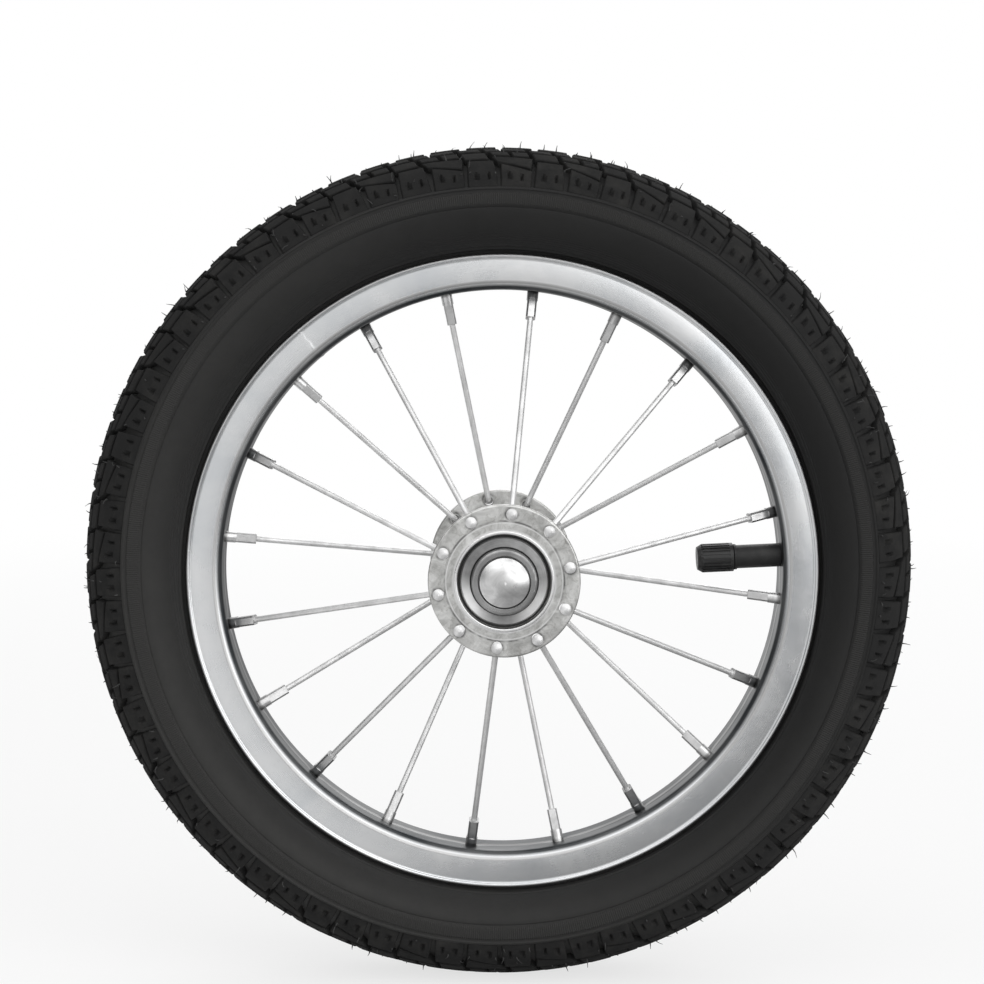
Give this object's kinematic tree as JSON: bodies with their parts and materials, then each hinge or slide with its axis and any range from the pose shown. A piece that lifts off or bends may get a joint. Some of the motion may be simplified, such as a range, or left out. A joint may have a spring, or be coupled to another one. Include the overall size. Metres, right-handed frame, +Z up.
{
  "type": "spoked wheel of a pet bike trailer, with its push-button axle",
  "caption": "Small pneumatic spoked wheel with a treaded tyre, bright steel rim and flanged hub, turning on a push-button quick-release axle pin.",
  "frame": {"origin": "on the axle's centre line, where the plain stretch of its free end starts, 0.5 mm inboard of the spacer", "axes": "+Y along the axle towards its free end (inboard, into the trailer), -Y outboard towards the release button, +Z up, +X to the right seen from outboard"},
  "size_m": [0.2834, 0.1255, 0.2834],
  "materials": {
    "tyre": "moulded black rubber, faintly dusty",
    "rim_zinc": "satin bright zinc on rolled steel",
    "spoke_zinc": "bright zinc-plated wire",
    "nipple_zinc": "zinc-plated, slightly dull",
    "hub_alloy": "mottled cast alloy with a turned lip",
    "axle_steel": "zinc-plated turned steel",
    "button_chrome": "polished chrome",
    "bearing_steel": "ground steel",
    "valve_rubber": "satin black rubber",
    "cap_plastic": "matte black moulded plastic"
  },
  "bodies": {
    "axle": {"axle": "axle_steel", "axle_spacer": "axle_steel", "release_button": "button_chrome", "retaining_balls": "bearing_steel", "bearing_inner_outboard": "bearing_steel", "bearing_inner_inboard": "bearing_steel"},
    "wheel": {"tyre": "tyre", "rim": "rim_zinc", "hub_shell": "hub_alloy", "bearing_outer_outboard": "bearing_steel", "bearing_outer_inboard": "bearing_steel", "valve_stem": "valve_rubber", "valve_cap": "cap_plastic", "spoke_outboard_01": "spoke_zinc", "spoke_outboard_02": "spoke_zinc", "spoke_outboard_03": "spoke_zinc", "spoke_outboard_04": "spoke_zinc", "spoke_outboard_05": "spoke_zinc", "spoke_outboard_06": "spoke_zinc", "spoke_outboard_07": "spoke_zinc", "spoke_outboard_08": "spoke_zinc", "spoke_outboard_09": "spoke_zinc", "spoke_outboard_10": "spoke_zinc", "spoke_inboard_01": "spoke_zinc", "spoke_inboard_02": "spoke_zinc", "spoke_inboard_03": "spoke_zinc", "spoke_inboard_04": "spoke_zinc", "spoke_inboard_05": "spoke_zinc", "spoke_inboard_06": "spoke_zinc", "spoke_inboard_07": "spoke_zinc", "spoke_inboard_08": "spoke_zinc", "spoke_inboard_09": "spoke_zinc", "spoke_inboard_10": "spoke_zinc", "nipple_outboard_01": "nipple_zinc", "nipple_outboard_02": "nipple_zinc", "nipple_outboard_03": "nipple_zinc", "nipple_outboard_04": "nipple_zinc", "nipple_outboard_05": "nipple_zinc", "nipple_outboard_06": "nipple_zinc", "nipple_outboard_07": "nipple_zinc", "nipple_outboard_08": "nipple_zinc", "nipple_outboard_09": "nipple_zinc", "nipple_outboard_10": "nipple_zinc", "nipple_inboard_01": "nipple_zinc", "nipple_inboard_02": "nipple_zinc", "nipple_inboard_03": "nipple_zinc", "nipple_inboard_04": "nipple_zinc", "nipple_inboard_05": "nipple_zinc", "nipple_inboard_06": "nipple_zinc", "nipple_inboard_07": "nipple_zinc", "nipple_inboard_08": "nipple_zinc", "nipple_inboard_09": "nipple_zinc", "nipple_inboard_10": "nipple_zinc"}
  },
  "joints": [
    {"name": "wheel_spin", "type": "hinge", "parent": "axle", "child": "wheel", "pos_m": [0, -0.029, 0], "axis": [0, 1, 0], "continuous": true}
  ]
}
